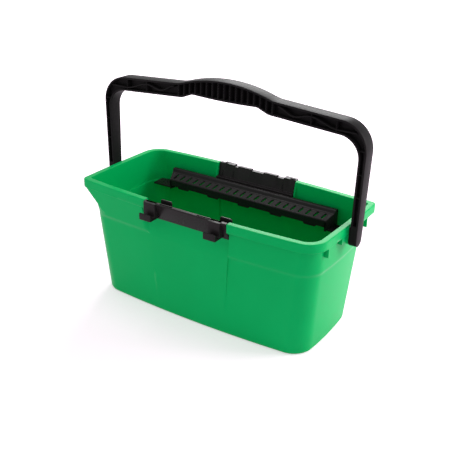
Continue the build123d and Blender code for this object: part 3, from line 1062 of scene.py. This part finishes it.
@dataclass(frozen=True)
class ToolHolder:
    """A clip that straddles a panel's top edge and carries two hooks.

    Its section holds the distance out and the height, and its last points are the groove in the crown.
    """

    body: Body
    shift: float
    cuts: tuple[float, ...]
    cut_half: float
    crown_cut: float
    tabs: tuple[float, ...]
    rear: bool
    length: float = 175.0
    top: float = 232.0
    edge: float = 0.6
    section: Outline = ((122.3, 232.0), (123.8, 230.5), (112.5, 198.5), (107.5, 198.5), (107.5, 203.0),
                        (103.5, 203.0), (103.5, 188.0), (100.5, 188.0), (100.5, 207.0), (110.4, 207.0),
                        (115.8, 232.0), (118.2, 232.0), (118.2, 227.0), (121.2, 227.0), (121.2, 232.0))
    section_radii: tuple[float, ...] = (0.8, 0.8, 0.7, 0.7, 0.3, 0.3, 0.7, 0.7, 0.8, 0.8, 0.8, 0.4, 0.6, 0.6, 0.4)
    section_steps: int = 5
    groove_points: int = 4
    hook: Outline = ((107.5, 202.5), (140.8, 202.5), (140.8, 215.0), (137.3, 215.0), (137.3, 207.0),
                     (127.8, 207.0), (127.8, 232.0), (115.8, 232.0), (115.8, 203.3), (107.5, 203.3))
    hook_radii: tuple[float, ...] = (0.2, 1.2, 1.0, 1.0, 1.5, 1.5, 1.0, 0.6, 0.2, 0.2)
    hooks: Span = (-72.0, 65.5)
    hook_width: float = 25.0
    hook_edge: float = 0.8
    tab_face: Span = (100.5, 103.5)
    tab_rise: Span = (204.0, 233.0)
    tab_width: float = 24.0
    tab_round: float = 3.0
    tab_steps: int = 7

    def clip(self) -> Shape:
        """The section carried along X; where the crown is cut, its groove is open or its top is held down.

        Returns:
            The shape.
        """
        out, height = rounded(self.section, self.section_radii, self.section_steps).T
        groove = np.arange(len(out)) >= len(out) - self.groove_points * self.section_steps
        level = np.where(groove, self.top, height)
        cut_level = np.minimum(level, self.top - self.crown_cut) if self.crown_cut else height
        flat, opened = np.stack([-out, level], 1), np.stack([-out, cut_level], 1)
        inset, rise = quarter(self.edge)
        end = drawn_in(flat, inset)
        cut_places = [cut + self.cut_half * np.array([-1.0, -1.0, 1.0, 1.0]) for cut in self.cuts]
        places = np.concatenate([rise - self.length / 2, *cut_places, self.length / 2 - rise[::-1]])
        cut_rings = np.stack([flat, opened, opened, flat] * len(self.cuts))
        return grid(placed(np.concatenate([end, cut_rings, end[::-1]]), Axis.X, places))

    def whole(self) -> Shape:
        """The clip with its hooks and, on some, tabs: sections drawn out along X and along Y.

        Returns:
            The shape.
        """
        hook = rounded(self.hook, self.hook_radii) * np.array([-1.0, 1.0])
        half, width = self.hook_width / 2, self.tab_width / 2
        more = [drawn_out(hook, Axis.X, place - half, place + half, self.hook_edge) for place in self.hooks]
        for place in self.tabs:
            outline = rounded(box((place - width, place + width), self.tab_rise), self.tab_round, self.tab_steps)
            more.append(drawn_out(outline, Axis.Y, -self.tab_face[1], -self.tab_face[0], self.edge))
        made = together(self.clip(), *more).moved(self.shift)
        return made.half_turn() if self.rear else made

    def build(self, finish: bpy.types.Material) -> None:
        """Make the holder's one piece."""
        Piece(f"{self.body.value}_moulding", self.body, Slot.BLACK).make(self.whole(), finish, self.body.value)


@dataclass(frozen=True)
class Sieve:
    """The draining sieve: a bent sheet with a round ridge and a slotted slope, closed ends and two ears.

    Its profile holds depth and height, from the rear lip over the ridge and down the slope to the front hem; slotted
    is the span of depths that the slots' tiles take up.
    """

    profile: Outline = ((99.3, 196.3), (99.3, 206.0), (88.3, 206.0), (85.5, 200.0), (66.0, 190.3), (66.0, 177.0))
    radii: tuple[float, ...] = (0.0, 5.2, 5.2, 4.0, 3.0, 0.0)
    round_steps: int = 12
    line_steps: int = 60
    sheet: float = 2.5
    ends: Span = (177.0, 185.0)
    end_depths: Span = (66.0, 88.3)
    end_bevel: float = 0.5
    end_proud: float = 0.05
    bottom: float = 169.3
    slotted: Span = (68.6, 82.6)
    overlap: float = 0.4
    slot: Span = (13.0, 4.5)
    slot_edge: Span = (0.35, 0.4)
    slot_turn: float = 65.0
    slot_pitch: float = 16.0
    slot_count: int = 22
    slot_steps: int = 72
    strip_edge: float = 0.02
    ridge_steps: int = 9
    hem: Span = (186.0, 177.0)
    lobe_half: float = 13.0
    lobe_round: float = 3.0
    lobe_drop: float = 3.5
    lobe_pitch: float = 72.0
    lobe_count: int = 5
    lobe_steps: tuple[float, ...] = (0.0, 1.0, 1.8, 2.4, 2.8, 3.0, 3.001)
    ear: float = 3.0
    ear_rounds: Span = (1.2, 0.5)
    right_ear: Outline = ((174.0, 70.0), (223.0, 70.0), (223.0, 96.4), (200.0, 98.9), (174.0, 101.3))
    left_ear: Outline = ((-174.0, 70.0), (-223.0, 70.0), (-223.0, 98.6), (-200.0, 102.6), (-174.0, 104.6))

    def end_at(self, y: np.ndarray) -> np.ndarray:
        """Half length of the sheet at a depth."""
        return np.interp(y, self.end_depths, self.ends)

    def lines(self) -> tuple[np.ndarray, np.ndarray]:
        """Outer line of the sheet, and the inner one beside it, moved to the left by the sheet's thickness.

        Returns:
            Two arrays of points and 2: depth and height.
        """
        line = rounded(self.profile, self.radii, self.round_steps, closed=False)
        walked = way(line)
        steps = np.unique(np.concatenate([walked, np.linspace(0, walked[-1], self.line_steps)]))
        outer = at(steps, walked, line)
        return outer, outer + self.sheet * left_of(np.gradient(outer, axis=0))

    def drop(self, x: np.ndarray) -> np.ndarray:
        """How far the hem's lobes hang at a place: full in the middle, a quarter circle at each corner, else nothing.

        Args:
            x: places along the hem.

        Returns:
            Distances down.
        """
        away = np.abs(x[:, None] - spread(self.lobe_count, self.lobe_pitch)).min(1)
        turn = np.clip(away - (self.lobe_half - self.lobe_round), 0, self.lobe_round)
        depth = self.lobe_drop - self.lobe_round + np.sqrt(self.lobe_round ** 2 - turn ** 2)
        return np.where(away > self.lobe_half, 0.0, depth)

    def sloped(self, flat: Shape) -> Shape:
        """A shape sheared upwards towards the ridge, z + (y - y0) (z1 - z0) / (y1 - y0) between the slope's ends.

        Args:
            flat: the shape, level with the slope's front end.

        Returns:
            The sheared shape.
        """
        (rear, high), (near, low) = self.profile[3:5]
        rise = (flat.points[:, 1] - near) * (high - low) / (rear - near)
        return Shape(flat.points + rise[:, None] * np.array([0.0, 0.0, 1.0]), flat.faces)

    def strips(self) -> Shape:
        """The plain parts of the sheet: the ridge with the rear lip, and the front with its lobed hem.

        Both are the outer line and the inner one as a ring, carried along X; the hem's rings are stretched downwards
        where a lobe hangs.

        Returns:
            The shape.
        """
        outer, inner = self.lines()
        rear = outer[:, 0] >= self.slotted[1] - self.overlap
        front = outer[:, 0] <= self.slotted[0] + self.overlap
        y, z = np.concatenate([outer[rear], inner[rear][::-1]]).T
        along = np.linspace(-1, 1, self.ridge_steps)[:, None] * self.end_at(y)
        ridge = np.stack(np.broadcast_arrays(along, y, z), 2)
        y, z = np.concatenate([outer[front], inner[front][::-1]]).T
        reach = self.lobe_half - self.lobe_round + np.array(self.lobe_steps)
        lobes = spread(self.lobe_count, self.lobe_pitch)[:, None] + np.concatenate([-reach[::-1], reach])
        x = np.concatenate([[-self.ends[0]], lobes.ravel(), [self.ends[0]]])
        stretch = np.clip((self.hem[0] - z) / (self.hem[0] - self.hem[1]), 0, None)
        hem = np.stack(np.broadcast_arrays(x[:, None], y, z - self.drop(x)[:, None] * stretch), 2)
        return together(grid(ridge), grid(hem))

    def tiles(self) -> Shape:
        """The slotted slope: one tile for each slot, a stack of rings from the tile's edge in to the slot, sheared.

        At each angle the slot's edge lies where the ray leaves a band with two round ends, and the tile's edge where
        it leaves a rectangle.

        Returns:
            The shape.
        """
        half_x, half_y = self.slot_pitch / 2, (self.slotted[1] - self.slotted[0]) / 2
        corner = math.atan2(half_y, half_x)
        angle = np.unique(np.concatenate([np.linspace(0, 2 * math.pi, self.slot_steps, endpoint=False),
                                          [corner, math.pi - corner, math.pi + corner, 2 * math.pi - corner]]))
        ray = np.stack([np.cos(angle), np.sin(angle)], 1)
        turned = angle - math.radians(self.slot_turn)
        ahead, aside = np.abs(np.cos(turned)), np.maximum(np.abs(np.sin(turned)), TINY)
        half_width, straight = self.slot[1] / 2, (self.slot[0] - self.slot[1]) / 2
        side = half_width / aside
        cap = straight * ahead + np.sqrt(np.maximum((straight * ahead) ** 2 - straight ** 2 + half_width ** 2, 0))
        reach = np.where(side * ahead <= straight, side, cap)
        border = (np.array([half_x, half_y]) / np.maximum(np.abs(ray), TINY)).min(1)
        mid = (reach + border) / 2
        bevel, sink = self.slot_edge
        top = self.profile[4][1]
        low = top - self.sheet
        radii = np.stack([border, border, mid, np.minimum(reach + bevel, border), reach, reach, mid, border])
        levels = np.array([low, top, top, top, top - sink, low, low, low])
        rings = ray * radii[..., None] + np.array([0.0, sum(self.slotted) / 2])
        tile = grid(placed(rings, Axis.Z, levels), caps=False)
        row = [tile.moved(x) for x in spread(self.slot_count, self.slot_pitch).tolist()]
        last = self.slot_pitch * self.slot_count / 2
        near, far = self.end_at(np.array(self.slotted)) - self.end_bevel
        outline = ((last, self.slotted[0]), (near, self.slotted[0]), (far, self.slotted[1]), (last, self.slotted[1]))
        strip = drawn_out(np.array(outline), Axis.Z, low, top, self.strip_edge)
        return self.sloped(together(*row, strip, strip.mirrored()))

    def plates(self) -> Shape:
        """The closed ends, upright sheets under the sheet's outline, and the ears that lie on the ledge.

        Returns:
            The shape.
        """
        outer, _ = self.lines()
        y, z = outer[::-1].T
        keep = np.append(True, np.diff(y) > TINY)
        y, z = y[keep], z[keep]
        front, bend = self.profile[4]
        z = np.where(y < front + TINY, bend - self.radii[4], z)
        out = self.end_at(y)
        inner, low, bevel = out - self.sheet, np.full_like(out, self.bottom), self.end_bevel
        side, top = z - bevel, z + self.end_proud
        x = np.stack([inner, out, out, out - bevel, inner + bevel, inner], 1)
        rise = np.stack([low, low, side, top, top, side], 1)
        right = grid(np.stack(np.broadcast_arrays(x, y[:, None], rise), 2))
        corner, edge = self.ear_rounds
        ears = [drawn_out(rounded(outline, corner), Axis.Z, self.bottom, self.bottom + self.ear, edge)
                for outline in (self.right_ear, self.left_ear)]
        return together(right, right.mirrored(), *ears)

    def build(self, finish: bpy.types.Material) -> None:
        """Make the sieve's pieces.

        Args:
            finish: their material.
        """
        Piece("sieve_sheet", Body.SIEVE, Slot.BLACK).make(self.strips(), finish, "sieve")
        Piece("sieve_shelf", Body.SIEVE, Slot.BLACK).make(self.tiles(), finish)
        Piece("sieve_ends", Body.SIEVE, Slot.BLACK).make(self.plates(), finish)


def pose(place: Sequence[float], right: np.ndarray, up: np.ndarray, back: np.ndarray) -> Matrix:
    """Pose of a camera or a lamp from its place in metres and its three directions."""
    return Matrix([*np.stack([right, up, back, place], 1).tolist(), (0.0, 0.0, 0.0, 1.0)])


@dataclass(frozen=True)
class Lamp:
    """A square soft lamp: its place, the point that it faces and its side in metres, and its power in watts."""

    name: str
    place: Point
    aim: Point
    size: float
    power: float
    mirrored: bool = True

    def hang(self) -> None:
        """Set the lamp; one that isn't mirrored leaves no highlight."""
        light = bpy.data.lights.new(self.name, "AREA")
        light.size = self.size
        light.energy = self.power
        back = np.subtract(self.place, self.aim)
        back = back / np.linalg.norm(back)
        side = np.cross([0.0, 0.0, 1.0], back)
        side = side / np.linalg.norm(side)
        holder = bpy.data.objects.new(self.name, light)
        holder.matrix_world = pose(self.place, side, np.cross(back, side), back)
        holder.visible_glossy = self.mirrored
        bpy.context.scene.collection.objects.link(holder)


@dataclass(frozen=True)
class Studio:
    """Camera, pale floor and soft lamps; the floor's glow keeps the backdrop white and rises with the distance from the
    object, in metres, so the floor near the object is painted darker as painted shade.
    """

    camera_place: Point = (705.77, -1084.59, 778.77)
    azimuth: float = 33.0
    elevation: float = 25.54
    roll: float = 0.74
    focal_pixels: float = 761.0
    frame_pixels: float = 450.0
    sensor: float = 36.0
    camera_range: float = 100.0
    floor_half: float = 6000.0
    # painted: the floor's pinkish colour cancels the green light that the tub bounces onto it, so its shadow stays grey
    floor_colour: Colour = (0.94, 0.78, 0.9)
    # glow of the floor near the object and far from it: the lower near value is painted shade round the object
    floor_glow: Span = (0.47, 0.9)
    glow_reach: Span = (0.6, 1.6)
    world_light: float = 0.52
    lamps: tuple[Lamp, ...] = (
        Lamp("key", (2.3, 1.2, 0.5), (0.1, 0.0, 0.12), 1.4, 14.0),
        Lamp("top", (-0.6, 1.5, 1.15), (0.1, -0.1, 0.23), 0.8, 18.0),
        Lamp("fill", (-0.75, -1.75, 0.32), (0.1, 0.0, 0.3), 0.6, 5.0, mirrored=False),
        Lamp("ridge", (-0.35, 0.05, 1.25), (0.15, 0.09, 0.2), 0.4, 2.0),
        Lamp("sweep", (0.8, 0.35, 0.6), (0.45, 0.2, 0.0), 0.4, 4.5))

    def camera(self) -> None:
        """Set the camera where the photograph was taken from: its axes are the view's right, up and back."""
        turn, rise, tilt = (math.radians(a) for a in (self.azimuth, self.elevation, self.roll))
        back = np.array([math.sin(turn) * math.cos(rise), -math.cos(turn) * math.cos(rise), math.sin(rise)])
        level = np.array([math.cos(turn), math.sin(turn), 0.0])
        plumb = np.cross(back, level)
        right = level * math.cos(tilt) + plumb * math.sin(tilt)
        up = plumb * math.cos(tilt) - level * math.sin(tilt)
        lens = bpy.data.cameras.new("camera")
        lens.sensor_width = self.sensor
        lens.lens = self.focal_pixels * self.sensor / self.frame_pixels
        lens.clip_end = self.camera_range
        seat = bpy.data.objects.new("camera", lens)
        seat.matrix_world = pose(np.multiply(self.camera_place, MM), right, up, back)
        bpy.context.scene.collection.objects.link(seat)
        bpy.context.scene.camera = seat

    @staticmethod
    def seen(nodes: Nodes) -> Number:
        """Which rays show a surface, not its light.

        Args:
            nodes: the tree that asks.

        Returns:
            1 for rays from the camera and for mirrored and refracted ones, 0 for the rays that carry light.
        """
        path = nodes.add("ShaderNodeLightPath")
        camera, glossy, through = (Number(nodes, path.outputs[name])
                                   for name in ("Is Camera Ray", "Is Glossy Ray", "Is Transmission Ray"))
        return camera + glossy + through

    def floor(self) -> None:
        """A pale floor that is white to the camera and keeps the object's shadow; its glow is weaker near the object,
        which paints shade round it.
        """
        h = self.floor_half * MM
        mesh = bpy.data.meshes.new("floor")
        mesh.from_pydata([(-h, -h, 0), (h, -h, 0), (h, h, 0), (-h, h, 0)], [], [(0, 1, 2, 3)])
        made = bpy.data.objects.new("floor", mesh)
        bpy.context.scene.collection.objects.link(made)
        finish = bpy.data.materials.new("pale_floor")
        nodes = Nodes(finish)
        # the pinkish colour is painted to cancel the green light bounced onto the floor from the tub
        matt = nodes.add("ShaderNodeBsdfDiffuse", {}, {"Color": (*self.floor_colour, 1.0)})
        spot = nodes.add("ShaderNodeNewGeometry").outputs["Position"]
        away = nodes.number("ShaderNodeVectorMath", {"operation": "LENGTH"}, {0: spot}, "Value")
        # painted light and shade: the glow that camera and mirrored rays see makes the backdrop white, and is weaker
        # near the object, which paints the floor round it darker
        strength = self.seen(nodes) * nodes.smooth(away, self.glow_reach, self.floor_glow)
        glow = nodes.add("ShaderNodeEmission", {}, {"Color": WHITE, "Strength": strength})
        both = nodes.add("ShaderNodeAddShader", {}, {0: matt.outputs[0], 1: glow.outputs[0]})
        nodes.add("ShaderNodeOutputMaterial", {}, {"Surface": both.outputs[0]})
        mesh.materials.append(finish)

    def world(self) -> None:
        """White surroundings to the camera, and even light of a plain level on the object."""
        sky = bpy.data.worlds.new("surroundings")
        bpy.context.scene.world = sky
        nodes = Nodes(sky)
        strength = self.world_light + self.seen(nodes) * (1.0 - self.world_light)
        shade = nodes.add("ShaderNodeBackground", {}, {"Color": WHITE, "Strength": strength})
        nodes.add("ShaderNodeOutputWorld", {}, {"Surface": shade.outputs[0]})

    def build(self) -> None:
        """Set up everything round the object."""
        bpy.context.scene.view_settings.view_transform = "Standard"
        self.camera()
        self.floor()
        self.world()
        for lamp in self.lamps:
            lamp.hang()


FRONT_HOLDER = ToolHolder(Body.FRONT_HOLDER, shift=-5.0, cuts=(-40.0, 40.0), cut_half=14.0, crown_cut=0.0,
                          tabs=(-52.0, 75.0), rear=False)
REAR_HOLDER = ToolHolder(Body.REAR_HOLDER, shift=0.0, cuts=(-58.0, 0.0, 58.0), cut_half=14.0, crown_cut=2.6,
                         tabs=(), rear=True)


def main() -> None:
    """Build the studio and every sub-assembly in order."""
    logging.basicConfig(level=logging.INFO)
    Studio().build()
    green, black, satin = GREEN.material(), BLACK.material(), SATIN.material()
    Tub().build(green)
    Handle().build(black)
    FRONT_HOLDER.build(satin)
    REAR_HOLDER.build(satin)
    Sieve().build(satin)


if __name__ == "__main__":
    main()
